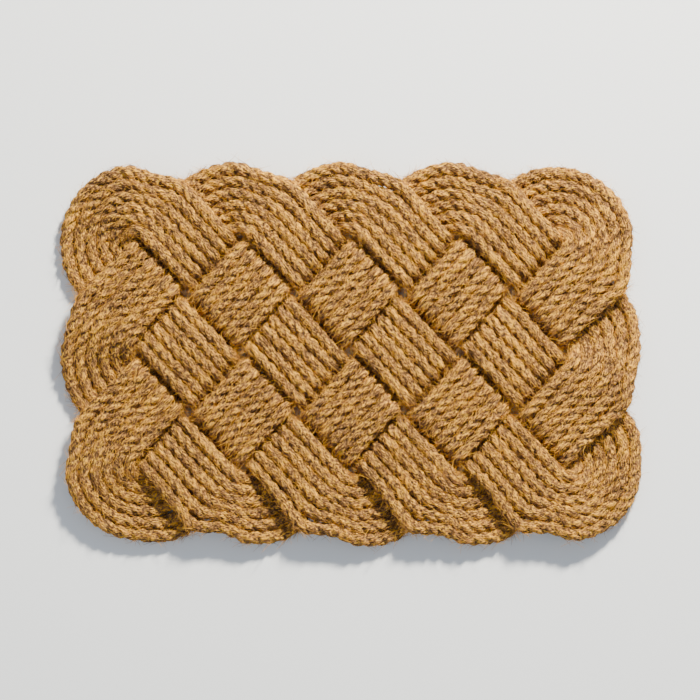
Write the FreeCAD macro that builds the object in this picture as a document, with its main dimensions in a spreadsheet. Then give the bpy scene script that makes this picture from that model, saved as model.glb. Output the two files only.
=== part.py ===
import FreeCAD, Part
import math
import os
from FreeCAD import Placement, Rotation, Vector

# Coir rope door mat. Six ropes lie side by side and weave one flat knot, over one band and
# under the next. X runs along the mat, Y across it, Z up, and the mat rests on Z = 0.

DRIVING_SIZES = [
    ("ropeDiameter", 11.4, "thickness of the laid coir rope"),
    ("ropeCount", 6, "ropes side by side in one band"),
    ("ropePitch", 12.1, "spacing of neighbouring ropes in a band"),
    ("layerGap", 0.4, "room between a rope and the rope that it crosses"),
    ("columnStep", 56.4, "half the spacing of the bights along X"),
    ("rowStep", 61.4, "half the spacing of the bights along Y"),
    ("columnCount", 10, "lattice columns from the left bights to the right ones"),
    ("rowCount", 6, "lattice rows from the front bights to the back ones"),
    ("lean", 0.02, "sideways drift of the lattice per millimetre of Y"),
    ("backLeftBend", 50.0, "middle rope's radius in the left bight of the back edge"),
    ("backMiddleBend", 49.0, "the same in the back edge's middle bight"),
    ("backRightBend", 50.0, "the same in the back edge's right bight"),
    ("frontLeftBend", 48.0, "the same in the front edge's left bight"),
    ("frontMiddleBend", 43.0, "the same in the front edge's middle bight"),
    ("frontRightBend", 45.0, "the same in the front edge's right bight"),
    ("leftBend", 54.0, "the same in the bight of the left edge"),
    ("rightBend", 51.0, "the same in the bight of the right edge"),
    ("backLeftDraw", 9.0, "how far the back left corner turn is drawn in along its legs"),
    ("backRightDraw", 9.0, "the same at the back right corner"),
    ("frontLeftDraw", 8.0, "the same at the front left corner"),
    ("frontRightDraw", 8.0, "the same at the front right corner"),
    ("sideFill", 9.0, "how far the notches between bights are pushed out, left and right edges"),
    ("backFill", 3.0, "the same along the back edge"),
    ("frontFill", 8.0, "the same along the front edge"),
    ("neckDiameter", 8.4, "rope end squeezed by its whipping"),
    ("neckLength", 10.0, "length of one squeezed end"),
    ("endGap", 1.0, "space between the two ends of a rope"),
    ("whippingBore", 9.1, "inside of the twine whipping"),
    ("whippingLength", 19.0, "length of the twine whipping"),
]

EDGE_BENDS = {
    (3, 6): "backLeftBend",
    (5, 6): "backMiddleBend",
    (7, 6): "backRightBend",
    (3, 0): "frontLeftBend",
    (5, 0): "frontMiddleBend",
    (7, 0): "frontRightBend",
    (0, 3): "leftBend",
    (10, 3): "rightBend",
}

# The lattice hole inside each corner turn, and how far that turn is drawn in.
CORNER_DRAWS = {
    (1, 5): "backLeftDraw",
    (9, 5): "backRightDraw",
    (1, 1): "frontLeftDraw",
    (9, 1): "frontRightDraw",
}

BEND_CORNERS = 5
TURN_CORNERS = 7
SHARE_OF_RUN = 0.45
SEAM_STRIDE = 3
LEG_POINTS = (-20.0, 5.0, 25.0)
LEAST_TURN = math.radians(0.3)

doc = FreeCAD.newDocument("CoirKnotMat")
sheet = doc.addObject("Spreadsheet::Sheet", "Sizes")
for line, (alias, value, meaning) in enumerate(DRIVING_SIZES, start=1):
    sheet.set(f"A{line}", meaning)
    sheet.set(f"B{line}", str(value))
    sheet.setAlias(f"B{line}", alias)
doc.recompute()

ropeRadius = sheet.ropeDiameter / 2
layerRise = sheet.ropeDiameter + sheet.layerGap
lastColumn = int(sheet.columnCount)
lastRow = int(sheet.rowCount)
laneCount = int(sheet.ropeCount)


def latticePoint(column, row):
    """Where two band centre lines cross, or where one bounces off the mat's edge."""
    across = (row - lastRow / 2) * sheet.rowStep
    along = (column - lastColumn / 2) * sheet.columnStep
    return Vector(along - sheet.lean * across, across, 0)


def leftOf(direction):
    return Vector(-direction.y, direction.x, 0)


def cross(a, b):
    return a.x * b.y - a.y * b.x


def turned(vector, angle):
    return Rotation(Vector(0, 0, 1), math.degrees(angle)).multVec(vector)


def raised(point, height):
    return point + Vector(0, 0, height)


fallingStep = latticePoint(1, 0) - latticePoint(0, 1)
risingStep = latticePoint(1, 1) - latticePoint(0, 0)
falling = Vector(fallingStep).normalize()
rising = Vector(risingStep).normalize()


def climbAngle():
    """The gentlest slope that clears the last rope passed over and the first one passed under."""
    cell = abs(cross(fallingStep, risingStep))
    bandSpacing = cell / max(fallingStep.Length, risingStep.Length)
    slot = bandSpacing - (laneCount - 1) * sheet.ropePitch
    ratio = slot / layerRise
    if ratio < math.sqrt(3):
        raise ValueError("the bands lie too close for a rope to dive between them")
    return 2 * math.atan((ratio - math.sqrt(ratio ** 2 - 3)) / 3)


climb = climbAngle()
climbHalfLength = layerRise / 2 / math.tan(climb)


class Station:
    """One lattice point that the band passes, with the way it goes in and out."""

    def __init__(self, column, row, arriving, leaving):
        self.column = column
        self.row = row
        self.place = latticePoint(column, row)
        self.arriving = self.heading(arriving)
        self.leaving = self.heading(leaving)
        self.isBounce = arriving != leaving
        self.isOnTop = (column % 2 == 1) == (leaving[0] == leaving[1])
        self.height = ropeRadius + (layerRise if self.isOnTop else 0)

    @staticmethod
    def heading(step):
        line = rising if step[0] == step[1] else falling
        return line * step[0]


def walkBand():
    """All the stations of the closed path that the band follows, in order."""
    start = (1, 2, (1, -1))
    column, row, step = start
    stations = []
    while not stations or (column, row, step) != start:
        arriving = step
        if column in (0, lastColumn):
            step = (-step[0], step[1])
        if row in (0, lastRow):
            step = (step[0], -step[1])
        stations.append(Station(column, row, arriving, step))
        column += step[0]
        row += step[1]
    return stations


def smooth(share):
    share = min(max(share, 0.0), 1.0)
    return share * share * (3 - 2 * share)


def settled(point):
    """Ropes beside a notch of the outline spread outwards and fill part of it."""
    row = point.y / sheet.rowStep + lastRow / 2
    column = (point.x + sheet.lean * point.y) / sheet.columnStep + lastColumn / 2
    beyondColumns = abs(column - lastColumn / 2) - (lastColumn / 2 - 1)
    beyondRows = abs(row - lastRow / 2) - (lastRow / 2 - 1)
    push = Vector(0, 0, 0)
    if beyondColumns > 0 and beyondRows < 0:
        notch = math.cos(math.pi * row / 2) ** 2
        push.x = math.copysign(sheet.sideFill * smooth(beyondColumns) * notch, point.x)
    if beyondRows > 0 and beyondColumns < 0:
        notch = math.cos(math.pi * column / 2) ** 2
        fill = sheet.backFill if point.y > 0 else sheet.frontFill
        push.y = math.copysign(fill * smooth(beyondRows) * notch, point.y)
    return point + push


def legPoints(station, heading, offset, way):
    """Points where a rope passes the last crossing before a bight, or the first one after it."""
    middle = raised(station.place + leftOf(heading) * offset, station.height)
    return [(middle + heading * (way * reach), None) for reach in LEG_POINTS[::way]]


def crossover(start, end, offset):
    """Corners of the short slope between two crossings, halfway between their bands."""
    heading = start.leaving
    side = leftOf(heading)
    other = falling if abs(cross(heading, rising)) < 0.5 else rising
    slip = -offset * cross(side, other) / cross(heading, other)
    middle = (start.place + end.place) / 2 + side * offset + heading * slip
    before = raised(middle - heading * climbHalfLength, start.height)
    after = raised(middle + heading * climbHalfLength, end.height)
    return [(before, layerRise), (after, layerRise)]


def bend(centre, heading, turn, laneRadius, corners, heights):
    """Corners round a bight about its centre, easing from one layer to the other."""
    reach = laneRadius / math.cos(turn / corners / 2)
    outward = leftOf(heading) * (-1 if turn > 0 else 1)
    points = []
    for corner in range(corners):
        share = corner / (corners - 1)
        ease = share * share * (3 - 2 * share)
        height = heights[0] + (heights[1] - heights[0]) * ease
        spoke = turned(outward, (corner + 0.5) / corners * turn)
        points.append((raised(centre + spoke * reach, height), None))
    return points


def innerRadius(radius, turn, offset):
    """A rope's own radius in a bend: smaller on the side that the band turns to."""
    return radius - (offset if turn > 0 else -offset)


def edgeBend(before, bounce, after, offset):
    """A bight at the mat's edge, where the band turns back by about a right angle."""
    radius = getattr(sheet, EDGE_BENDS[bounce.column, bounce.row])
    arriving = bounce.arriving
    leaving = bounce.leaving
    turn = math.atan2(cross(arriving, leaving), arriving.dot(leaving))
    inward = (leaving - arriving).normalize()
    centre = bounce.place + inward * (radius / math.cos(turn / 2))
    laneRadius = innerRadius(radius, turn, offset)
    corners = bend(centre, arriving, turn, laneRadius, BEND_CORNERS, (before.height, after.height))
    return legPoints(before, arriving, offset, 1) + corners + legPoints(after, leaving, offset, -1)


def cornerTurn(before, first, second, after, offset):
    """The half turn round a corner of the mat, from one leg to the next one beside it."""
    heading = first.arriving
    apart = cross(heading, second.place - first.place)
    turn = math.copysign(math.pi, apart)
    column = 1 if 0 in (first.column, second.column) else lastColumn - 1
    row = 1 if 0 in (first.row, second.row) else lastRow - 1
    drawn = getattr(sheet, CORNER_DRAWS[column, row])
    along = heading.dot(latticePoint(column, row) - first.place) - drawn
    centre = first.place + heading * along + leftOf(heading) * (apart / 2)
    laneRadius = innerRadius(abs(apart) / 2, turn, offset)
    corners = bend(centre, heading, turn, laneRadius, TURN_CORNERS, (before.height, after.height))
    leaving = second.leaving
    return legPoints(before, heading, offset, 1) + corners + legPoints(after, leaving, offset, -1)


def laneRoute(seam, offset):
    """Corner points of one rope, from its first end round the whole knot to its second end."""
    ring = band[seam:] + band[:seam]
    start = ring[0]
    meeting = raised(start.place + leftOf(start.leaving) * offset, start.height)
    setBack = start.leaving * (sheet.endGap / 2 + sheet.neckLength)
    route = [(meeting + setBack, None)]
    index = 0
    while index < len(ring):
        here = ring[index]
        ahead = [ring[(index + step) % len(ring)] for step in (1, 2, 3)]
        if not ahead[0].isBounce:
            route += crossover(here, ahead[0], offset)
            index += 1
        elif not ahead[1].isBounce:
            route += edgeBend(here, ahead[0], ahead[1], offset)
            index += 2
        else:
            route += cornerTurn(here, *ahead, offset)
            index += 3
    route.append((meeting - setBack, None))
    route = [(settled(point), radius) for point, radius in route]
    return route, meeting, start.leaving


def withoutStraightPoints(route):
    """The route without the points that lie in line with their neighbours."""
    kept = [route[0]]
    for index in range(1, len(route) - 1):
        here = route[index][0]
        turn = (here - kept[-1][0]).getAngle(route[index + 1][0] - here)
        if turn > LEAST_TURN:
            kept.append(route[index])
    return kept + [route[-1]]


def roundedWire(route):
    """Straight runs joined by tangent arcs along a route's corner points."""
    route = withoutStraightPoints(route)
    points = [point for point, radius in route]
    edges = []
    reached = points[0]
    for index in range(1, len(points) - 1):
        here = points[index]
        back = points[index - 1] - here
        ahead = points[index + 1] - here
        halfTurn = (math.pi - back.getAngle(ahead)) / 2
        radius = route[index][1]
        if radius is None:
            radius = SHARE_OF_RUN * min(back.Length, ahead.Length) / math.tan(halfTurn)
        reach = radius * math.tan(halfTurn)
        entry = here + back.normalize() * reach
        leave = here + ahead.normalize() * reach
        inward = (back + ahead).normalize()
        middle = here + inward * (radius / math.cos(halfTurn) - radius)
        edges.append(Part.LineSegment(reached, entry).toShape())
        edges.append(Part.Arc(entry, middle, leave).toShape())
        reached = leave
    edges.append(Part.LineSegment(reached, points[-1]).toShape())
    return Part.Wire(edges)


def ropeSolid(wire, meeting, heading):
    """A rope swept round its route, with a squeezed neck at each end."""
    start = wire.OrderedVertexes[0].Point
    section = Part.Wire([Part.makeCircle(ropeRadius, start, heading)])
    rope = wire.makePipeShell([section], True, False)
    for way in (1, -1):
        tip = meeting + heading * (way * sheet.endGap / 2)
        neck = Part.makeCylinder(sheet.neckDiameter / 2, 1.5 * sheet.neckLength, tip, heading * way)
        rope = rope.fuse(neck)
    return rope


def seamStations():
    """For each rope, an inner crossing where it runs underneath, spread round the knot."""
    hidden = []
    for index, station in enumerate(band):
        neighbours = band[index - 1], station, band[(index + 1) % len(band)]
        if not station.isOnTop and not any(each.isBounce for each in neighbours):
            hidden.append(index)
    return [hidden[lane * SEAM_STRIDE % len(hidden)] for lane in range(laneCount)]


band = walkBand()
routes = []
for lane, seam in enumerate(seamStations()):
    offset = (lane - (laneCount - 1) / 2) * sheet.ropePitch
    routes.append(laneRoute(seam, offset))

wires = [roundedWire(route) for route, meeting, heading in routes]
outline = Part.Compound(wires).optimalBoundingBox(False)
toOrigin = Vector(-outline.Center.x, -outline.Center.y, 0)

ropes = []
for lane in range(laneCount):
    route, meeting, heading = routes[lane]
    rope = doc.addObject("Part::Feature", f"RopePass{lane + 1}")
    rope.Label = f"rope_pass_{lane + 1}"
    rope.Shape = ropeSolid(wires[lane], meeting, heading)
    rope.Placement = Placement(toOrigin, Rotation())
    ropes.append(rope)
    sweptVolume = math.pi * ropeRadius ** 2 * wires[lane].Length
    print(rope.Label, "length", round(wires[lane].Length + 2 * sheet.neckLength),
          "volume over section times length", round(rope.Shape.Volume / sweptVolume, 5))

whippings = []
for lane in range(laneCount):
    route, meeting, heading = routes[lane]
    outer = doc.addObject("Part::Cylinder", f"WhippingOutside{lane + 1}")
    outer.setExpression("Radius", "Sizes.ropeDiameter / 2")
    outer.setExpression("Height", "Sizes.whippingLength")
    inner = doc.addObject("Part::Cylinder", f"WhippingBore{lane + 1}")
    inner.setExpression("Radius", "Sizes.whippingBore / 2")
    inner.setExpression("Height", "Sizes.whippingLength")
    whipping = doc.addObject("Part::Cut", f"EndWhipping{lane + 1}")
    whipping.Label = f"end_whipping_{lane + 1}"
    whipping.Base = outer
    whipping.Tool = inner
    whippingStart = meeting + toOrigin - heading * (sheet.whippingLength / 2)
    whipping.Placement = Placement(whippingStart, Rotation(Vector(0, 0, 1), heading))
    whippings.append(whipping)

doc.recompute()
for item in doc.Objects:
    if "Invalid" in item.State or "Error" in item.State:
        raise RuntimeError(f"{item.Label} failed")

os.makedirs("parts", exist_ok=True)
for piece in ropes + whippings:
    if piece.Shape.isNull() or not piece.Shape.isValid() or len(piece.Shape.Solids) != 1:
        raise RuntimeError(f"{piece.Label} has no valid solid")
    piece.Shape.exportStep(f"parts/{piece.Label}.step")
print("pieces", len(ropes + whippings), "climb angle", round(math.degrees(climb), 1))
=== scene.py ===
import math
import bpy
from mathutils import Matrix, Vector


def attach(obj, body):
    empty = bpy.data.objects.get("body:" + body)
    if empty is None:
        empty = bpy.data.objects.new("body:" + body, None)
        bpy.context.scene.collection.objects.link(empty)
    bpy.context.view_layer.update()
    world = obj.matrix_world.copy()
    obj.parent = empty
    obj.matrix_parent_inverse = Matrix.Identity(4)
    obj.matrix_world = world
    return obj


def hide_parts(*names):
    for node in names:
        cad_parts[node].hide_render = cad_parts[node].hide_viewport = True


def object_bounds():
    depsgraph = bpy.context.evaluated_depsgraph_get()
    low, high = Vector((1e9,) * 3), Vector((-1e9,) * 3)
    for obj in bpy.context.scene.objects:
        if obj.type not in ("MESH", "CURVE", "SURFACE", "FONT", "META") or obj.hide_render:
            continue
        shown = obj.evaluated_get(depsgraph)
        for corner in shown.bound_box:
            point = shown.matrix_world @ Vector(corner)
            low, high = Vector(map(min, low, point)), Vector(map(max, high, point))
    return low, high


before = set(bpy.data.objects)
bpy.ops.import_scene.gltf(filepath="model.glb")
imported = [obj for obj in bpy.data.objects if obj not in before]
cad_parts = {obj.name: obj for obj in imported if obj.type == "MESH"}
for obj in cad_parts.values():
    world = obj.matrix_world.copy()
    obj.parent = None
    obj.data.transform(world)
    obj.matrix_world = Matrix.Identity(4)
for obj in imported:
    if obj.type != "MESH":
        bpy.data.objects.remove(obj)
cadBox = [list(corner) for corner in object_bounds()]
print("frame loaded, nodes:", len(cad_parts))

# How the knot is laid out, in metres, on the lattice that the frame's ropes follow.
matKnot = {
    "columns": 10,
    "rows": 6,
    "columnStep": 0.0564,
    "rowStep": 0.0614,
    "lean": 0.02,  # sideways drift per metre of Y
    "ropesInBand": 6,
    "ropeSpacing": 0.0121,
    "lowHeight": 0.0064,  # rope centre in the lower layer
    "layerRise": 0.0128,
    "bendSwell": 0.135,  # a rope is looser and fatter round a bend
    "lowReach": 0.0045,  # a rope is low again this near to the middle of its climb
    "edgeBends": {
        (3, 6): 0.050,
        (5, 6): 0.049,
        (7, 6): 0.050,
        (3, 0): 0.048,
        (5, 0): 0.043,
        (7, 0): 0.045,
        (0, 3): 0.054,
        (10, 3): 0.051,
    },
    "cornerDraws": {(1, 5): 0.009, (9, 5): 0.013, (1, 1): 0.009, (9, 1): 0.006},
    "leftFill": 0.005,
    "rightFill": 0.010,
    "backFill": 0.0025,
    "frontFill": 0.010,
    "sideDroop": 0.005,
    "backDroop": 0.007,
    "frontDroop": 0.011,
    "bendParts": 7,
    "turnParts": 11,
    "levelShare": 0.1,  # a bend stays level for this share of its length at each end
    "legReach": {-0.020: 0.0, 0.005: 0.6, 0.025: 1.0},  # distance past the crossing: share of the swell
    "legHandle": 0.006,
    "seamStride": 3,
    "seamHandle": 0.008,
    "endGap": 0.001,
}


def smooth(share):
    share = min(max(share, 0.0), 1.0)
    return share * share * (3 - 2 * share)


def leftOf(direction):
    return Vector((-direction.y, direction.x, 0))


def cross2(a, b):
    return a.x * b.y - a.y * b.x


def raised(point, height):
    return point + Vector((0, 0, height))


def turned(vector, angle):
    return Matrix.Rotation(angle, 3, "Z") @ vector


def latticePoint(column, row):
    across = (row - matKnot["rows"] / 2) * matKnot["rowStep"]
    along = (column - matKnot["columns"] / 2) * matKnot["columnStep"]
    return Vector((along - matKnot["lean"] * across, across, 0))


fallingStep = latticePoint(1, 0) - latticePoint(0, 1)
risingStep = latticePoint(1, 1) - latticePoint(0, 0)
falling = fallingStep.normalized()
rising = risingStep.normalized()
bandSpacing = abs(cross2(fallingStep, risingStep)) / max(fallingStep.length, risingStep.length)
diveReach = (bandSpacing - (matKnot["ropesInBand"] - 1) * matKnot["ropeSpacing"]) / 2


def settled(point):
    # ropes beside a notch of the outline spread outwards and fill part of it,
    # and each lobe droops on the side where the falling band leaves it
    halfRows = matKnot["rows"] / 2
    halfColumns = matKnot["columns"] / 2
    row = point.y / matKnot["rowStep"] + halfRows
    column = (point.x + matKnot["lean"] * point.y) / matKnot["columnStep"] + halfColumns
    beyondColumns = abs(column - halfColumns) - (halfColumns - 1)
    beyondRows = abs(row - halfRows) - (halfRows - 1)
    push = Vector((0, 0, 0))
    if beyondColumns > 0 and beyondRows < 0:
        notch = math.cos(math.pi * row / 2) ** 2
        droop = max(0, math.copysign(1, point.x) * math.sin(math.pi * row))
        fill = matKnot["rightFill"] if point.x > 0 else matKnot["leftFill"]
        spread = fill * notch - matKnot["sideDroop"] * droop
        push.x = math.copysign(1, point.x) * smooth(beyondColumns) * spread
    if beyondRows > 0 and beyondColumns < 0:
        notch = math.cos(math.pi * column / 2) ** 2
        fill = matKnot["backFill"] if point.y > 0 else matKnot["frontFill"]
        droop = max(0, -math.copysign(1, point.y) * math.sin(math.pi * column))
        sag = matKnot["backDroop"] if point.y > 0 else matKnot["frontDroop"]
        spread = fill * notch - sag * droop
        push.y = math.copysign(1, point.y) * smooth(beyondRows) * spread
    return point + push


def headingOf(step):
    return (rising if step[0] == step[1] else falling) * step[0]


def walkBand():
    # every lattice point that the band passes, until it is back where it started
    start = (1, 2, (1, -1))
    column, row, step = start
    stations = []
    while not stations or (column, row, step) != start:
        arriving = step
        if column in (0, matKnot["columns"]):
            step = (-step[0], step[1])
        if row in (0, matKnot["rows"]):
            step = (step[0], -step[1])
        onTop = (column % 2 == 1) == (step[0] == step[1])
        stations.append({
            "cell": (column, row),
            "place": latticePoint(column, row),
            "arriving": headingOf(arriving),
            "leaving": headingOf(step),
            "bounces": arriving != step,
            "onTop": onTop,
            "height": matKnot["lowHeight"] + (matKnot["layerRise"] if onTop else 0),
        })
        column += step[0]
        row += step[1]
    return stations


def knot(point, direction, back, ahead, swell=1.0):
    return [settled(point - direction * back), settled(point), settled(point + direction * ahead), swell]


def diveKnots(start, end, offset):
    # the rope leaves its layer over the last rope and reaches the other layer at the next one
    heading = start["leaving"]
    side = leftOf(heading)
    other = falling if abs(cross2(heading, rising)) < 0.5 else rising
    slip = -offset * cross2(side, other) / cross2(heading, other)
    middle = (start["place"] + end["place"]) / 2 + side * offset + heading * slip
    reaches = [diveReach if station["onTop"] else matKnot["lowReach"] for station in (start, end)]
    before = raised(middle - heading * reaches[0], start["height"])
    after = raised(middle + heading * reaches[1], end["height"])
    handle = sum(reaches) / 2
    return [knot(before, heading, handle, handle), knot(after, heading, handle, handle)]


def bendKnots(centre, heading, turn, bandRadius, offset, parts, heights):
    way = 1 if turn > 0 else -1
    radius = bandRadius - way * offset
    outward = leftOf(heading) * -way
    handle = 4 / 3 * math.tan(abs(turn) / parts / 4) * radius
    rise = heights[1] - heights[0]
    climbShare = 1 - 2 * matKnot["levelShare"]
    knots = []
    for part in range(parts + 1):
        share = part / parts
        inner = min(max((share - matKnot["levelShare"]) / climbShare, 0), 1)
        slope = rise * 6 * inner * (1 - inner) / climbShare / (abs(turn) * radius)  # slope of smooth()
        point = raised(centre + turned(outward, turn * share) * radius, heights[0] + rise * smooth(inner))
        direction = turned(heading, turn * share) + Vector((0, 0, slope))
        knots.append(knot(point, direction, handle, handle, 1 + matKnot["bendSwell"]))
    return knots


def legKnots(station, heading, offset, way):
    # way is 1 ahead of a bend and -1 behind it
    middle = raised(station["place"] + leftOf(heading) * offset, station["height"])
    handle = matKnot["legHandle"]
    knots = []
    for reach, share in list(matKnot["legReach"].items())[::way]:
        swell = 1 + matKnot["bendSwell"] * share
        knots.append(knot(middle + heading * (way * reach), heading, handle, handle, swell))
    return knots


def edgeKnots(before, bounce, after, offset):
    radius = matKnot["edgeBends"][bounce["cell"]]
    arriving = bounce["arriving"]
    leaving = bounce["leaving"]
    turn = math.atan2(cross2(arriving, leaving), arriving.dot(leaving))
    inward = (leaving - arriving).normalized()
    centre = bounce["place"] + inward * (radius / math.cos(turn / 2))
    heights = (before["height"], after["height"])
    bend = bendKnots(centre, arriving, turn, radius, offset, matKnot["bendParts"], heights)
    return legKnots(before, arriving, offset, 1) + bend + legKnots(after, leaving, offset, -1)


def cornerKnots(before, first, second, after, offset):
    heading = first["arriving"]
    apart = cross2(heading, second["place"] - first["place"])
    cells = first["cell"], second["cell"]
    column = 1 if 0 in (cells[0][0], cells[1][0]) else matKnot["columns"] - 1
    row = 1 if 0 in (cells[0][1], cells[1][1]) else matKnot["rows"] - 1
    along = heading.dot(latticePoint(column, row) - first["place"]) - matKnot["cornerDraws"][column, row]
    centre = first["place"] + heading * along + leftOf(heading) * (apart / 2)
    heights = (before["height"], after["height"])
    turn = math.copysign(math.pi, apart)
    bend = bendKnots(centre, heading, turn, abs(apart) / 2, offset, matKnot["turnParts"], heights)
    return legKnots(before, heading, offset, 1) + bend + legKnots(after, second["leaving"], offset, -1)


def seamIndexes(stations):
    # inner crossings where the band runs underneath, one for each rope's ends
    hidden = []
    for index, station in enumerate(stations):
        near = stations[index - 1], station, stations[(index + 1) % len(stations)]
        if not station["onTop"] and not any(each["bounces"] for each in near):
            hidden.append(index)
    lanes = range(matKnot["ropesInBand"])
    return [hidden[lane * matKnot["seamStride"] % len(hidden)] for lane in lanes]


def ropeKnots(stations, seam, offset):
    ring = stations[seam:] + stations[:seam]
    start = ring[0]
    heading = start["leaving"]
    meeting = raised(start["place"] + leftOf(heading) * offset, start["height"])
    gap = heading * (matKnot["endGap"] / 2)
    handle = matKnot["seamHandle"]
    knots = [knot(meeting + gap, heading, handle, handle)]
    index = 0
    while index < len(ring):
        here = ring[index]
        ahead = [ring[(index + step) % len(ring)] for step in (1, 2, 3)]
        if not ahead[0]["bounces"]:
            knots += diveKnots(here, ahead[0], offset)
            index += 1
        elif not ahead[1]["bounces"]:
            knots += edgeKnots(here, ahead[0], ahead[1], offset)
            index += 2
        else:
            knots += cornerKnots(here, ahead[0], ahead[1], ahead[2], offset)
            index += 3
    knots.append(knot(meeting - gap, heading, handle, handle))
    return knots, meeting, heading


def layCurve(name, knots):
    curve = bpy.data.curves.new(name, "CURVE")
    curve.dimensions = "3D"
    curve.resolution_u = 16
    spline = curve.splines.new("BEZIER")
    spline.bezier_points.add(len(knots) - 1)
    for point, (back, place, ahead, swell) in zip(spline.bezier_points, knots):
        point.handle_left_type = point.handle_right_type = "FREE"
        point.radius = swell
        point.handle_left = back
        point.co = place
        point.handle_right = ahead
    piece = bpy.data.objects.new(name, curve)
    bpy.context.collection.objects.link(piece)
    return piece


# Small helpers for building node trees in code.
def put(tree, kind, sockets=None, **settings):
    node = tree.nodes.new(kind)
    for setting, value in settings.items():
        setattr(node, setting, value)
    for socket, value in (sockets or {}).items():
        target = node.inputs[socket]
        if isinstance(value, bpy.types.NodeSocket):
            tree.links.new(value, target)
        else:
            target.default_value = value
    return node


def sums(tree, operation, *values):
    node = put(tree, "ShaderNodeMath", dict(enumerate(values)), operation=operation)
    return node.outputs[0]


def vectors(tree, operation, *values, scale=None):
    sockets = dict(enumerate(values))
    if scale is not None:
        sockets["Scale"] = scale
    node = put(tree, "ShaderNodeVectorMath", sockets, operation=operation)
    return node.outputs["Vector"]


def onlyHeight(tree, share):
    # a factor that changes a vector along Z and nowhere else
    return put(tree, "ShaderNodeCombineXYZ", {"X": 1.0, "Y": 1.0, "Z": share}).outputs[0]


def newTree(name, kind, inputs, outputs):
    tree = bpy.data.node_groups.new(name, kind)
    for label, socketKind in inputs.items():
        tree.interface.new_socket(label, in_out="INPUT", socket_type=socketKind)
    for label, socketKind in outputs.items():
        tree.interface.new_socket(label, in_out="OUTPUT", socket_type=socketKind)
    source = tree.nodes.new("NodeGroupInput")
    target = tree.nodes.new("NodeGroupOutput")
    return tree, source.outputs, target.inputs


def numberSockets(values):
    return {label: "NodeSocketInt" if isinstance(value, int) else "NodeSocketFloat"
            for label, value in values.items()}


def captured(tree, geometry, **fields):
    # fields are (data type, socket); returns the geometry and the fixed fields
    node = tree.nodes.new("GeometryNodeCaptureAttribute")
    for label, (dataType, _) in fields.items():
        node.capture_items.new(dataType, label)
    tree.links.new(geometry, node.inputs[0])
    for place, (_, field) in enumerate(fields.values()):
        tree.links.new(field, node.inputs[place + 1])
    return node.outputs[0], [node.outputs[place + 1] for place in range(len(fields))]


def stored(tree, geometry, name, dataType, field):
    node = put(tree, "GeometryNodeStoreNamedAttribute", {"Geometry": geometry, "Name": name, "Value": field},
               data_type=dataType, domain="POINT")
    return node.outputs["Geometry"]


def readField(tree, name, dataType):
    return put(tree, "GeometryNodeInputNamedAttribute", {"Name": name}, data_type=dataType).outputs[0]


def held(tree, geometry, lowest, highest):
    # keeps every point between two heights
    spot = put(tree, "ShaderNodeSeparateXYZ", {0: tree.nodes.new("GeometryNodeInputPosition").outputs[0]})
    level = put(tree, "ShaderNodeClamp", {"Value": spot.outputs["Z"], "Min": lowest, "Max": highest})
    place = put(tree, "ShaderNodeCombineXYZ", {
        "X": spot.outputs["X"], "Y": spot.outputs["Y"], "Z": level.outputs[0]})
    moved = put(tree, "GeometryNodeSetPosition", {"Geometry": geometry, "Position": place.outputs[0]})
    return moved.outputs[0]


def finished(tree, geometry, material, target):
    realized = put(tree, "GeometryNodeRealizeInstances", {"Geometry": geometry})
    shaded = put(tree, "GeometryNodeSetShadeSmooth", {"Geometry": realized.outputs[0]})
    painted = put(tree, "GeometryNodeSetMaterial", {"Geometry": shaded.outputs[0], "Material": material})
    tree.links.new(painted.outputs[0], target)


def growMesh(source, tree, name, values):
    # runs a tree on a curve or mesh and keeps the plain mesh that it makes
    modifier = source.modifiers.new(name, "NODES")
    modifier.node_group = tree
    for item in tree.interface.items_tree:
        if item.in_out == "INPUT" and item.name in values:
            modifier[item.identifier] = values[item.name]
    depsgraph = bpy.context.evaluated_depsgraph_get()
    mesh = bpy.data.meshes.new_from_object(
        source.evaluated_get(depsgraph), preserve_all_data_layers=True, depsgraph=depsgraph)
    source.modifiers.remove(modifier)
    mesh.name = name
    piece = bpy.data.objects.new(name, mesh)
    bpy.context.collection.objects.link(piece)
    return piece


# Coir's colour and grain, shared by ropes, loose fibres and twine.
coirGrain = {
    "alongScale": 0.34,  # fibres run along the lay, so the grain is drawn out along it
    "bundleScale": 0.38,  # bundles against single fibres
    "fineShare": 0.75,
    "patchesPerMetre": 22.0,
    "patchWeight": 0.50,
    "middleTone": 0.56,
    "redScale": 0.6,
    "redShare": 0.5,
    "redTone": (1.0, 0.80, 0.68, 1),
    "noiseSpan": (0.34, 0.66),  # the part of the noise that is drawn out to 0..1
    "patchSpan": (0.30, 0.70),
    "redSpan": (0.55, 0.75),
    "grooveRoughness": 0.95,
    "fibreRoughness": 0.75,  # raised fibres are a little shinier
    "specular": 0.12,
}
coirTones = (
    (0.00, (0.120, 0.059, 0.021, 1)),  # dark fibres, and painted shade in the gaps between fibres
    (0.26, (0.212, 0.104, 0.045, 1)),  # old brown husk
    (0.56, (0.452, 0.222, 0.075, 1)),  # gold
    (1.00, (0.990, 0.495, 0.045, 1)),  # straw
)


def multiplied(tree, share, colour, tone):
    mix = put(tree, "ShaderNodeMix", {"Factor": share, 6: colour, 7: tone},
              data_type="RGBA", blend_type="MULTIPLY")
    return mix.outputs[2]


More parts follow.
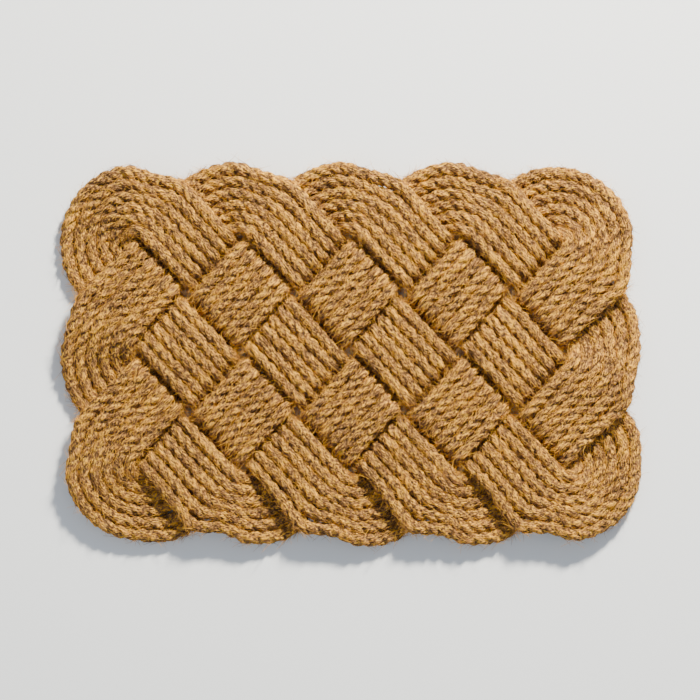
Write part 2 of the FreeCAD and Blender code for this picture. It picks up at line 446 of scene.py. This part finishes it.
def coirGroup():
    tree, source, target = newTree(
        "coirFibre", "ShaderNodeTree",
        {
            "Position": "NodeSocketVector",
            "Fibre Width": "NodeSocketFloat",
            "Lightness": "NodeSocketFloat",
            "Contrast": "NodeSocketFloat",
        },
        {"Color": "NodeSocketColor", "Height": "NodeSocketFloat", "Roughness": "NodeSocketFloat"},
    )
    stretched = put(tree, "ShaderNodeMapping", {
        "Vector": source["Position"], "Scale": (1, 1, coirGrain["alongScale"])})
    fineScale = sums(tree, "DIVIDE", 1.0, source["Fibre Width"])

    def grainNoise(vector, scale, detail, span):
        noise = put(tree, "ShaderNodeTexNoise", {"Vector": vector, "Scale": scale, "Detail": detail})
        spread = put(tree, "ShaderNodeMapRange", {
            "Value": noise.outputs["Fac"], "From Min": span[0], "From Max": span[1]})
        return spread.outputs[0]

    fine = grainNoise(stretched.outputs[0], fineScale, 3.0, coirGrain["noiseSpan"])
    bundleScale = sums(tree, "MULTIPLY", fineScale, coirGrain["bundleScale"])
    bundle = grainNoise(stretched.outputs[0], bundleScale, 1.0, coirGrain["noiseSpan"])
    patch = grainNoise(source["Position"], coirGrain["patchesPerMetre"], 3.0, coirGrain["patchSpan"])
    fineShare = coirGrain["fineShare"]
    grain = sums(tree, "MULTIPLY_ADD", fine, fineShare, sums(tree, "MULTIPLY", bundle, 1 - fineShare))
    contrasted = sums(tree, "MULTIPLY", sums(tree, "SUBTRACT", grain, 0.5), source["Contrast"])
    patchShade = sums(tree, "SUBTRACT", patch, 0.5)
    shade = sums(tree, "MULTIPLY_ADD", patchShade, coirGrain["patchWeight"], contrasted)
    shade = sums(tree, "ADD", sums(tree, "ADD", shade, coirGrain["middleTone"]), source["Lightness"])
    ramp = tree.nodes.new("ShaderNodeValToRGB")
    stops = ramp.color_ramp.elements
    stops[0].position, stops[0].color = coirTones[0]
    stops[1].position, stops[1].color = coirTones[-1]
    for position, tone in coirTones[1:-1]:
        stops.new(position).color = tone
    tree.links.new(shade, ramp.inputs[0])

    # a few fibres are redder
    redScale = sums(tree, "MULTIPLY", fineScale, coirGrain["redScale"])
    redness = grainNoise(stretched.outputs[0], redScale, 0.0, coirGrain["redSpan"])
    redness = sums(tree, "MULTIPLY", redness, coirGrain["redShare"])
    ruddy = multiplied(tree, redness, ramp.outputs["Color"], coirGrain["redTone"])
    shine = coirGrain["fibreRoughness"] - coirGrain["grooveRoughness"]
    rough = sums(tree, "MULTIPLY_ADD", fine, shine, coirGrain["grooveRoughness"])
    tree.links.new(ruddy, target["Color"])
    tree.links.new(grain, target["Height"])
    tree.links.new(rough, target["Roughness"])
    return tree


coirFibre = coirGroup()


def coirMaterial(name, settings):
    material = bpy.data.materials.new(name)
    material.use_nodes = True
    tree = material.node_tree
    shader = tree.nodes["Principled BSDF"]
    attribute = put(tree, "ShaderNodeAttribute", attribute_name="layPosition")
    grain = put(tree, "ShaderNodeGroup", node_tree=coirFibre)
    grain.inputs["Fibre Width"].default_value = settings["fibreWidth"]
    grain.inputs["Lightness"].default_value = settings["lightness"]
    grain.inputs["Contrast"].default_value = settings["contrast"]
    tree.links.new(attribute.outputs["Vector"], grain.inputs["Position"])
    colour = grain.outputs["Color"]
    # painted shade: the rope colour is darkened and turned bluer in the grooves between strands, where the
    # strands shade each other
    if "paintedGrooveShade" in settings:
        crown = put(tree, "ShaderNodeAttribute", attribute_name="crown")
        grooveShadeShare = put(tree, "ShaderNodeMapRange", {"Value": crown.outputs["Fac"], "To Min": 1.0, "To Max": 0.0})
        colour = multiplied(tree, grooveShadeShare.outputs[0], colour, settings["paintedGrooveShade"])
    bump = put(tree, "ShaderNodeBump", {
        "Height": grain.outputs["Height"],
        "Strength": settings["bumpStrength"],
        "Distance": settings["bumpDepth"],
    })
    tree.links.new(colour, shader.inputs["Base Color"])
    tree.links.new(grain.outputs["Roughness"], shader.inputs["Roughness"])
    tree.links.new(bump.outputs["Normal"], shader.inputs["Normal"])
    shader.inputs["Specular IOR Level"].default_value = coirGrain["specular"]
    return material


ropeCoir = coirMaterial("ropeCoir", {
    "fibreWidth": 0.0013,
    "lightness": -0.05,
    "contrast": 1.75,
    # painted shade for the grooves between strands
    "paintedGrooveShade": (0.72, 0.79, 1.00, 1),
    "bumpStrength": 1.0,
    "bumpDepth": 0.0026,
})
looseCoir = coirMaterial("looseCoir", {
    "fibreWidth": 0.0030,
    "lightness": 0.07,
    "contrast": 1.8,
    "bumpStrength": 0.2,
    "bumpDepth": 0.0001,
})
twineCoir = coirMaterial("twineCoir", {
    "fibreWidth": 0.0006,
    "lightness": 0.0,
    "contrast": 0.9,
    "bumpStrength": 0.9,
    "bumpDepth": 0.0004,
})
print("coir materials made")

# The rope itself: three strands laid to the right.
laidRope = {
    "Diameter": 0.0131,
    "Lay Length": 0.040,
    "Ring Spacing": 0.00165,
    "Profile Points": 28,
    "Strand Reach": 0.38,  # strand centres, as a share of the rope's radius
    "Wander": 0.0036,
    "Wanders per Metre": 14.0,
    "Rise Share": 0.35,  # it wanders less up and down than sideways
    "Loose Twist": 2.2,
    "Twists per Metre": 9.0,
    "Unevenness": 0.27,
    "Swells per Metre": 22.0,
    "Roughness": 0.0044,
    "Ridges per Metre": 380.0,
    "Ridge Stretch": 0.40,  # ridges run along the lay
    "Neck Length": 0.010,
    "Neck Share": 0.70,
    "Lowest": 0.0001,  # the rope is pressed flat where it would go under the floor
}


def laidRopeTree():
    tree, source, target = newTree(
        "laidRope", "GeometryNodeTree",
        {
            "Geometry": "NodeSocketGeometry",
            **numberSockets(laidRope),
            "Seed": "NodeSocketFloat",
            "Material": "NodeSocketMaterial",
        },
        {"Geometry": "NodeSocketGeometry"},
    )
    rings = put(tree, "GeometryNodeResampleCurve", {
        "Curve": source["Geometry"], "Length": source["Ring Spacing"]}, mode="LENGTH")
    along = tree.nodes.new("GeometryNodeSplineParameter").outputs["Length"]
    total = tree.nodes.new("GeometryNodeSplineLength").outputs["Length"]
    seedStep = 7.31  # takes each rope to its own part of the noise
    seedRow = sums(tree, "MULTIPLY", source["Seed"], seedStep)

    def slowNoise(perMetre, row):
        place = put(tree, "ShaderNodeCombineXYZ", {
            "X": sums(tree, "MULTIPLY", along, perMetre), "Y": seedRow, "Z": row})
        return put(tree, "ShaderNodeTexNoise", {"Vector": place.outputs[0], "Scale": 1.0, "Detail": 1.0})

    # the rope wanders a little from its line, more sideways than up
    drift = slowNoise(source["Wanders per Metre"], 0.0).outputs["Color"]
    drift = vectors(tree, "SUBTRACT", drift, (0.5, 0.5, 0.5))
    drift = vectors(tree, "MULTIPLY", drift, onlyHeight(tree, source["Rise Share"]))
    drift = vectors(tree, "SCALE", drift, scale=source["Wander"])
    moved = put(tree, "GeometryNodeSetPosition", {"Geometry": rings.outputs[0], "Offset": drift})
    facing = put(tree, "GeometryNodeSetCurveNormal", {"Curve": moved.outputs[0]}, mode="Z_UP")
    twist = sums(tree, "DIVIDE", sums(tree, "MULTIPLY", along, 2 * math.pi), source["Lay Length"])
    looseTwist = slowNoise(source["Twists per Metre"], 5.0).outputs["Fac"]
    twist = sums(tree, "MULTIPLY_ADD", looseTwist, source["Loose Twist"], twist)
    tilted = put(tree, "GeometryNodeSetCurveTilt", {"Curve": facing.outputs[0], "Tilt": twist})
    tangent = tree.nodes.new("GeometryNodeInputTangent").outputs[0]
    path, (alongFixed, twistFixed, headingFixed) = captured(
        tree, tilted.outputs[0], along=("FLOAT", along), twist=("FLOAT", twist), heading=("VECTOR", tangent))
    swell = sums(tree, "SUBTRACT", slowNoise(source["Swells per Metre"], 9.0).outputs["Fac"], 0.5)
    swell = sums(tree, "MULTIPLY_ADD", swell, source["Unevenness"], 1.0)
    endDistance = sums(tree, "MINIMUM", along, sums(tree, "SUBTRACT", total, along))
    neck = put(tree, "ShaderNodeMapRange", {
        "Value": endDistance,
        "From Min": source["Neck Length"],
        "From Max": sums(tree, "MULTIPLY", source["Neck Length"], 1.5),
        "To Min": source["Neck Share"],
        "To Max": 1.0,
    }, interpolation_type="SMOOTHSTEP")
    girth = sums(tree, "MULTIPLY", swell, neck.outputs[0])
    girth = sums(tree, "MULTIPLY", girth, tree.nodes.new("GeometryNodeInputRadius").outputs[0])

    # three strands as overlapping circles round the rope's axis
    ring = put(tree, "GeometryNodeCurvePrimitiveCircle", {
        "Resolution": source["Profile Points"], "Radius": 1.0}, mode="RADIUS")
    turn = tree.nodes.new("GeometryNodeSplineParameter").outputs["Factor"]
    angle = sums(tree, "MULTIPLY", turn, 2 * math.pi)
    fromStrand = sums(tree, "WRAP", angle, math.pi / 3, -math.pi / 3)
    reach = source["Strand Reach"]
    strandRadius = sums(tree, "SUBTRACT", 1.0, reach)
    sideways = sums(tree, "MULTIPLY", sums(tree, "SINE", fromStrand), reach)
    chord = sums(tree, "SUBTRACT", sums(tree, "MULTIPLY", strandRadius, strandRadius),
                 sums(tree, "MULTIPLY", sideways, sideways))
    lobe = sums(tree, "MULTIPLY_ADD", sums(tree, "COSINE", fromStrand), reach, sums(tree, "SQRT", chord))
    size = sums(tree, "MULTIPLY", lobe, sums(tree, "MULTIPLY", source["Diameter"], 0.5))
    place = tree.nodes.new("GeometryNodeInputPosition").outputs[0]
    trefoil = put(tree, "GeometryNodeSetPosition", {
        "Geometry": ring.outputs["Curve"], "Position": vectors(tree, "SCALE", place, scale=size)})
    shape = tree.nodes.new("GeometryNodeInputPosition").outputs[0]
    profile, (spokeFixed, lobeFixed) = captured(
        tree, trefoil.outputs[0], spoke=("VECTOR", shape), lobe=("FLOAT", lobe))

    tube = put(tree, "GeometryNodeCurveToMesh", {
        "Curve": path, "Profile Curve": profile, "Scale": girth, "Fill Caps": True})
    unrolled = put(tree, "ShaderNodeVectorRotate", {"Vector": spokeFixed, "Angle": twistFixed},
                   rotation_type="Z_AXIS")
    lift = put(tree, "ShaderNodeCombineXYZ", {"Z": sums(tree, "ADD", alongFixed, seedRow)})
    layPosition = vectors(tree, "ADD", unrolled.outputs[0], lift.outputs[0])

    # bundles of fibres raise and sink the surface along the lay
    stretched = vectors(tree, "MULTIPLY", layPosition, onlyHeight(tree, source["Ridge Stretch"]))
    ridges = put(tree, "ShaderNodeTexNoise", {
        "Vector": stretched, "Scale": source["Ridges per Metre"], "Detail": 2.0})
    offset = sums(tree, "SUBTRACT", ridges.outputs["Fac"], 0.5)
    offset = sums(tree, "MULTIPLY", offset, source["Roughness"])
    normal = tree.nodes.new("GeometryNodeInputNormal").outputs[0]
    rough = put(tree, "GeometryNodeSetPosition", {
        "Geometry": tube.outputs[0], "Offset": vectors(tree, "SCALE", normal, scale=offset)})
    noCeiling = 1.0
    pressed = held(tree, rough.outputs[0], source["Lowest"], noCeiling)
    mesh = stored(tree, pressed, "layPosition", "FLOAT_VECTOR", layPosition)
    leastLobe = 0.69  # just under the groove between two strands, as a share of the rope's radius
    # crown is 1 on a strand's top and 0 in the groove; the rope material paints shade into the grooves by it
    crown = sums(tree, "DIVIDE", sums(tree, "SUBTRACT", lobeFixed, leastLobe), 1 - leastLobe)
    mesh = stored(tree, mesh, "crown", "FLOAT", crown)
    mesh = stored(tree, mesh, "heading", "FLOAT_VECTOR", headingFixed)
    finished(tree, mesh, source["Material"], target["Geometry"])
    return tree


stations = walkBand()
seams = seamIndexes(stations)
lanes = []
for lane, seam in enumerate(seams):
    offset = (lane - (matKnot["ropesInBand"] - 1) / 2) * matKnot["ropeSpacing"]
    knots, meeting, heading = ropeKnots(stations, seam, offset)
    lanes.append({"line": layCurve(f"ropeLine{lane + 1}", knots), "meeting": meeting, "heading": heading})


def flatCentre(corners):
    # middle of the box round these corners, at the floor
    lows, highs = [[pick(corner[axis] for corner in corners) for axis in (0, 1)] for pick in (min, max)]
    return Vector([(low + high) / 2 for low, high in zip(lows, highs)] + [0])


# The frame's box is centred on the whole outline, so the lines are moved there together.
bpy.context.view_layer.update()
lineCorners = [corner for lane in lanes for corner in lane["line"].bound_box]
shift = flatCentre(cadBox) - flatCentre(lineCorners)
for lane in lanes:
    lane["line"].data.transform(Matrix.Translation(shift))
    lane["meeting"] = lane["meeting"] + shift

ropeTree = laidRopeTree()
ropes = []
for number, lane in enumerate(lanes, start=1):
    rope = growMesh(lane["line"], ropeTree, f"coirRope_{number}", {
        **laidRope,
        "Seed": float(number),
        "Material": ropeCoir,
    })
    ropes.append(rope)
    print("rope", number, "faces", len(rope.data.polygons))

for lane in lanes:
    bpy.data.objects.remove(lane["line"])

# Loose fibre ends that stand off the rope.
looseFibres = {
    "Density": 70000.0,  # per square metre of rope that faces up
    "Underside Share": 0.22,
    "Hole Extra": 8.0,  # times as many more on the rope sides round the holes of the weave
    "Hole Start": 0.80,  # 1 is the middle of a hole
    "Hole Full": 0.90,
    "Shortest": 0.004,
    "Longest": 0.011,
    "Fibre Radius": 0.00024,
    "Taper": 0.6,
    "Spread": 0.75,
    "Lift": 0.38,
    "Dip": -0.095,  # some fibres point a little into the rope
    "Curl": 0.40,
    "Lowest": 0.0003,
    "Highest": 0.0300,
}


def looseFibreTree():
    tree, source, target = newTree(
        "looseFibres", "GeometryNodeTree",
        {
            "Geometry": "NodeSocketGeometry",
            **numberSockets(looseFibres),
            "Column Step": "NodeSocketFloat",
            "Row Step": "NodeSocketFloat",
            "Lattice Centre": "NodeSocketVector",
            "Seed": "NodeSocketInt",
            "Material": "NodeSocketMaterial",
        },
        {"Geometry": "NodeSocketGeometry"},
    )

    def chance(low, high, salt):
        seed = sums(tree, "ADD", source["Seed"], salt)
        ends = {2: low, 3: high, "Seed": seed}
        return put(tree, "FunctionNodeRandomValue", ends, data_type="FLOAT").outputs[1]

    def chanceVector(low, high, salt):
        seed = sums(tree, "ADD", source["Seed"], salt)
        ends = {0: (low, low, low), 1: (high, high, high), "Seed": seed}
        return put(tree, "FunctionNodeRandomValue", ends, data_type="FLOAT_VECTOR").outputs[0]

    facing = put(tree, "ShaderNodeSeparateXYZ", {0: tree.nodes.new("GeometryNodeInputNormal").outputs[0]})
    steep = 0.3  # a normal rises no more than this on the side of a rope
    shown = put(tree, "ShaderNodeMapRange", {
        "Value": facing.outputs["Z"],
        "From Min": -steep,
        "From Max": steep,
        "To Min": source["Underside Share"],
    })
    density = sums(tree, "MULTIPLY", source["Density"], shown.outputs[0])

    # 1 at a hole of the weave, -1 at a crossing
    place = tree.nodes.new("GeometryNodeInputPosition").outputs[0]
    spot = put(tree, "ShaderNodeSeparateXYZ", {0: vectors(tree, "SUBTRACT", place, source["Lattice Centre"])})
    waves = []
    for axis, step in (("X", source["Column Step"]), ("Y", source["Row Step"])):
        phase = sums(tree, "DIVIDE", sums(tree, "MULTIPLY", spot.outputs[axis], math.pi), step)
        waves.append(sums(tree, "COSINE", phase))
    openness = sums(tree, "MULTIPLY", *waves)
    nearHole = put(tree, "ShaderNodeMapRange", {
        "Value": openness, "From Min": source["Hole Start"], "From Max": source["Hole Full"]})
    sideways = put(tree, "ShaderNodeMapRange", {
        "Value": sums(tree, "ABSOLUTE", facing.outputs["Z"]),
        "From Min": 2 * steep,
        "From Max": steep,
    })
    holeSide = sums(tree, "MULTIPLY", nearHole.outputs[0], sideways.outputs[0])
    extra = sums(tree, "MULTIPLY", holeSide, source["Hole Extra"])
    density = sums(tree, "MULTIPLY", density, sums(tree, "ADD", extra, 1.0))
    roots = put(tree, "GeometryNodeDistributePointsOnFaces", {
        "Mesh": source["Geometry"], "Density": density, "Seed": source["Seed"]})
    outward = roots.outputs["Normal"]
    eitherWay = sums(tree, "SIGN", chance(-1.0, 1.0, 11))
    forward = vectors(tree, "SCALE", readField(tree, "heading", "FLOAT_VECTOR"), scale=eitherWay)
    beside = vectors(tree, "CROSS_PRODUCT", outward, forward)
    leastLean = sums(tree, "MULTIPLY", source["Spread"], -1.0)
    lean = vectors(tree, "SCALE", beside, scale=chance(leastLean, source["Spread"], 12))
    rise = vectors(tree, "SCALE", outward, scale=chance(source["Dip"], source["Lift"], 13))
    aim = vectors(tree, "ADD", vectors(tree, "ADD", forward, lean), rise)
    pointing = put(tree, "FunctionNodeAlignRotationToVector", {"Vector": aim}, axis="Z")
    size = put(tree, "ShaderNodeCombineXYZ", {
        "X": source["Fibre Radius"], "Y": source["Fibre Radius"],
        "Z": chance(source["Shortest"], source["Longest"], 14)})
    bendSize = sums(tree, "MULTIPLY", source["Curl"], source["Shortest"])
    bendWay = vectors(tree, "SCALE", chanceVector(-1, 1, 15), scale=bendSize)
    points = stored(tree, roots.outputs["Points"], "bendWay", "FLOAT_VECTOR", bendWay)
    points = stored(tree, points, "shade", "FLOAT_VECTOR", chanceVector(0, 1, 16))

    # one fibre of unit length, drawn once and placed many times
    line = put(tree, "GeometryNodeCurvePrimitiveLine", {"End": (0, 0, 1)})
    rings = put(tree, "GeometryNodeResampleCurve", {"Curve": line.outputs[0], "Count": 3})
    share = tree.nodes.new("GeometryNodeSplineParameter").outputs["Factor"]
    strand, (tip,) = captured(tree, rings.outputs[0], tip=("FLOAT", share))
    section = put(tree, "GeometryNodeCurvePrimitiveCircle", {"Resolution": 3, "Radius": 1.0})
    taper = sums(tree, "SUBTRACT", 1.0, sums(tree, "MULTIPLY", share, source["Taper"]))
    hair = put(tree, "GeometryNodeCurveToMesh", {
        "Curve": strand, "Profile Curve": section.outputs[0], "Scale": taper, "Fill Caps": True})
    hair = stored(tree, hair.outputs[0], "tip", "FLOAT", tip)
    placed = put(tree, "GeometryNodeInstanceOnPoints", {
        "Points": points, "Instance": hair, "Rotation": pointing.outputs[0], "Scale": size.outputs[0]})
    loose = put(tree, "GeometryNodeRealizeInstances", {"Geometry": placed.outputs[0]})
    tipField = readField(tree, "tip", "FLOAT")
    tipBend = 4.0  # at the tip, in times of the curl
    reach = sums(tree, "MULTIPLY", sums(tree, "MULTIPLY", tipField, tipField), tipBend)
    bend = vectors(tree, "SCALE", readField(tree, "bendWay", "FLOAT_VECTOR"), scale=reach)
    bent = put(tree, "GeometryNodeSetPosition", {"Geometry": loose.outputs[0], "Offset": bend})
    kept = held(tree, bent.outputs[0], source["Lowest"], source["Highest"])
    toneLength = 0.01
    along = put(tree, "ShaderNodeCombineXYZ", {"Z": sums(tree, "MULTIPLY", tipField, toneLength)})
    colourPlace = vectors(tree, "ADD", readField(tree, "shade", "FLOAT_VECTOR"), along.outputs[0])
    mesh = stored(tree, kept, "layPosition", "FLOAT_VECTOR", colourPlace)
    finished(tree, mesh, source["Material"], target["Geometry"])
    return tree


fibreTree = looseFibreTree()
fibres = []
for number, rope in enumerate(ropes, start=1):
    tuft = growMesh(rope, fibreTree, f"looseFibres_{number}", {
        **looseFibres,
        "Column Step": matKnot["columnStep"],
        "Row Step": matKnot["rowStep"],
        "Lattice Centre": list(shift),
        "Seed": number,
        "Material": looseCoir,
    })
    fibres.append(tuft)
    print("loose fibres", number, "faces", len(tuft.data.polygons))

# Twine wound tightly over the two ends where each rope meets itself.
endWhipping = {
    "Turns": 13.0,
    "Width": 0.0185,
    "Inner Radius": 0.0044,
    "Twine Radius": 0.00072,
    "Twine Twist": 900.0,  # radians per metre
}


def whippingTree():
    tree, source, target = newTree(
        "endWhipping", "GeometryNodeTree",
        {
            "Geometry": "NodeSocketGeometry",
            **numberSockets(endWhipping),
            "Heading": "NodeSocketFloat",
            "Place": "NodeSocketVector",
            "Material": "NodeSocketMaterial",
        },
        {"Geometry": "NodeSocketGeometry"},
    )
    radius = sums(tree, "ADD", source["Inner Radius"], source["Twine Radius"])
    coil = put(tree, "GeometryNodeCurveSpiral", {
        "Resolution": 22,
        "Rotations": source["Turns"],
        "Start Radius": radius,
        "End Radius": radius,
        "Height": source["Width"],
    })
    along = tree.nodes.new("GeometryNodeSplineParameter").outputs["Length"]
    path, (alongFixed,) = captured(tree, coil.outputs[0], along=("FLOAT", along))
    section = put(tree, "GeometryNodeCurvePrimitiveCircle", {
        "Resolution": 8, "Radius": source["Twine Radius"]})
    place = tree.nodes.new("GeometryNodeInputPosition").outputs[0]
    profile, (spokeFixed,) = captured(tree, section.outputs[0], spoke=("VECTOR", place))
    twine = put(tree, "GeometryNodeCurveToMesh", {"Curve": path, "Profile Curve": profile, "Fill Caps": True})
    angle = sums(tree, "MULTIPLY", alongFixed, source["Twine Twist"])
    twist = put(tree, "ShaderNodeVectorRotate", {
        "Vector": spokeFixed, "Angle": angle}, rotation_type="Z_AXIS")
    lift = put(tree, "ShaderNodeCombineXYZ", {"Z": alongFixed})
    layPosition = vectors(tree, "ADD", twist.outputs[0], lift.outputs[0])
    mesh = stored(tree, twine.outputs[0], "layPosition", "FLOAT_VECTOR", layPosition)
    half = put(tree, "ShaderNodeCombineXYZ", {"Z": sums(tree, "MULTIPLY", source["Width"], -0.5)})
    centred = put(tree, "GeometryNodeTransform", {"Geometry": mesh, "Translation": half.outputs[0]})
    facing = put(tree, "ShaderNodeCombineXYZ", {"Y": math.pi / 2, "Z": source["Heading"]})
    laid = put(tree, "GeometryNodeTransform", {
        "Geometry": centred.outputs[0], "Translation": source["Place"], "Rotation": facing.outputs[0]})
    finished(tree, laid.outputs[0], source["Material"], target["Geometry"])
    return tree


twineTree = whippingTree()
whippings = []
for number, lane in enumerate(lanes, start=1):
    blank = bpy.data.objects.new("blank", bpy.data.meshes.new("blank"))
    bpy.context.collection.objects.link(blank)
    whipping = growMesh(blank, twineTree, f"twineWhipping_{number}", {
        **endWhipping,
        "Heading": math.atan2(lane["heading"].y, lane["heading"].x),
        "Place": list(lane["meeting"]),
        "Material": twineCoir,
    })
    bpy.data.objects.remove(blank)
    whippings.append(whipping)
print("whippings wound:", len(whippings))

for number, (rope, tuft, whipping) in enumerate(zip(ropes, fibres, whippings), start=1):
    for piece in (rope, tuft, whipping):
        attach(piece, "root")
    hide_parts(f"rope_pass_{number}")
    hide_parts(f"end_whipping_{number}")

# Plain pale floor, soft light mostly from the back right, and a camera straight above.
studio = {
    "floorSize": 6.0,
    "floorColour": (0.87, 0.90, 0.95, 1),
    "floorRoughness": 0.9,
    "airColour": (0.85, 0.93, 1.0, 1),
    "airStrength": 0.50,
    "lights": {
        "keyLight": {"place": (0.9, 2.0, 1.55), "size": 0.35, "power": 265, "colour": (1.0, 0.94, 0.80)},
        "fillLight": {"place": (-1.5, -1.0, 1.8), "size": 2.0, "power": 10, "colour": (1.0, 1.0, 1.0)},
    },
    "cameraHeight": 3.0,
    "viewWidth": 0.7292,
    "lookAt": (-0.0015, 0.0042, 0.0),
}
floorMesh = bpy.data.meshes.new("studioFloor")
half = studio["floorSize"] / 2
floorMesh.from_pydata(
    [(-half, -half, 0), (half, -half, 0), (half, half, 0), (-half, half, 0)], [], [(0, 1, 2, 3)])
floor = bpy.data.objects.new("studioFloor", floorMesh)
bpy.context.collection.objects.link(floor)
floorPaint = bpy.data.materials.new("palePaper")
floorPaint.use_nodes = True
paper = floorPaint.node_tree.nodes["Principled BSDF"]
paper.inputs["Base Color"].default_value = studio["floorColour"]
paper.inputs["Roughness"].default_value = studio["floorRoughness"]
floorMesh.materials.append(floorPaint)

for name, light in studio["lights"].items():
    lamp = bpy.data.lights.new(name, "AREA")
    lamp.shape = "DISK"
    lamp.color = light["colour"]
    lamp.size = light["size"]
    lamp.energy = light["power"]
    holder = bpy.data.objects.new(name, lamp)
    holder.location = light["place"]
    holder.rotation_euler = (-Vector(light["place"])).to_track_quat("-Z", "Y").to_euler()
    bpy.context.collection.objects.link(holder)

world = bpy.data.worlds.new("studioAir")
world.use_nodes = True
air = world.node_tree.nodes["Background"]
air.inputs["Color"].default_value = studio["airColour"]
air.inputs["Strength"].default_value = studio["airStrength"]
bpy.context.scene.world = world

cameraData = bpy.data.cameras.new("overheadCamera")
cameraData.lens = cameraData.sensor_width * studio["cameraHeight"] / studio["viewWidth"]
camera = bpy.data.objects.new("overheadCamera", cameraData)
camera.location = Vector(studio["lookAt"]) + Vector((0, 0, studio["cameraHeight"]))
bpy.context.collection.objects.link(camera)
bpy.context.scene.camera = camera
